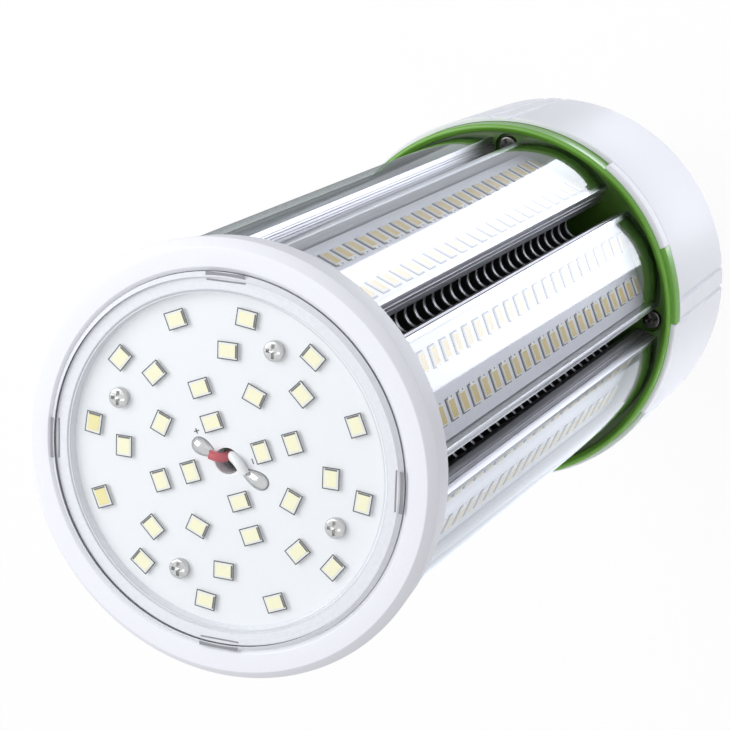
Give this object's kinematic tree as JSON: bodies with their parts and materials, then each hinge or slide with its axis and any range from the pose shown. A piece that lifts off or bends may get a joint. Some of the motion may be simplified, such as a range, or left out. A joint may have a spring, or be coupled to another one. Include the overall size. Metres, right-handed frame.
{
  "type": "corn LED lamp",
  "caption": "Tall cylindrical LED lamp with lit strips around a finned core, a lit end under a clear cover, a driver housing and a screw base.",
  "frame": {"origin": "on the lamp's axis, half-way up the screw shell", "axes": "+Z along the lamp's axis from the screw base to the lit end; +X through the middle of one lit side"},
  "size_m": [0.0781, 0.078, 0.226],
  "materials": {
    "nickel_plate": "bright nickel plate",
    "black_insulator": "gloss moulded insulator",
    "contact_metal": "tinned brass",
    "white_plastic": "satin white moulded plastic",
    "green_plastic": "gloss green moulded plastic",
    "screw_steel": "bright nickel-plated steel",
    "black_fins": "black-coated sheet with bare edges",
    "aluminium": "drawn extrusion",
    "white_board": "white solder mask",
    "led_phosphor": "yellow phosphor in a white package",
    "clear_cover": "clear gloss plastic",
    "red_wire": "PVC sleeve",
    "white_wire": "PVC sleeve",
    "solder": "bright solder",
    "driver_laminate": "green laminate",
    "transformer_tape": "yellow tape",
    "capacitor_sleeve": "shrink sleeve",
    "choke_core": "ferrite core and lacquered wire"
  },
  "bodies": {
    "root": {"screw_shell": "nickel_plate", "base_insulator": "black_insulator", "centre_contact": "contact_metal", "driver_housing": "white_plastic", "green_ring": "green_plastic", "ring_screws": "screw_steel", "fin_stack": "black_fins", "side_extrusion_1": "aluminium", "side_led_board_1": "white_board", "side_leds_1": "led_phosphor", "side_cover_1": "clear_cover", "side_extrusion_2": "aluminium", "side_led_board_2": "white_board", "side_leds_2": "led_phosphor", "side_cover_2": "clear_cover", "side_extrusion_3": "aluminium", "side_led_board_3": "white_board", "side_leds_3": "led_phosphor", "side_cover_3": "clear_cover", "side_extrusion_4": "aluminium", "side_led_board_4": "white_board", "side_leds_4": "led_phosphor", "side_cover_4": "clear_cover", "side_extrusion_5": "aluminium", "side_led_board_5": "white_board", "side_leds_5": "led_phosphor", "side_cover_5": "clear_cover", "side_extrusion_6": "aluminium", "side_led_board_6": "white_board", "side_leds_6": "led_phosphor", "side_cover_6": "clear_cover", "side_extrusion_7": "aluminium", "side_led_board_7": "white_board", "side_leds_7": "led_phosphor", "side_cover_7": "clear_cover", "side_extrusion_8": "aluminium", "side_led_board_8": "white_board", "side_leds_8": "led_phosphor", "side_cover_8": "clear_cover", "end_ring": "white_plastic", "end_cover": "clear_cover", "end_carrier_plate": "aluminium", "end_led_board": "white_board", "end_leds": "led_phosphor", "end_board_screws": "screw_steel", "red_lead": "red_wire", "white_lead": "white_wire", "solder_joints": "solder", "driver_board": "driver_laminate", "transformer": "transformer_tape", "capacitor": "capacitor_sleeve", "choke": "choke_core", "live_feed": "red_wire", "neutral_feed": "white_wire"}
  },
  "joints": []
}
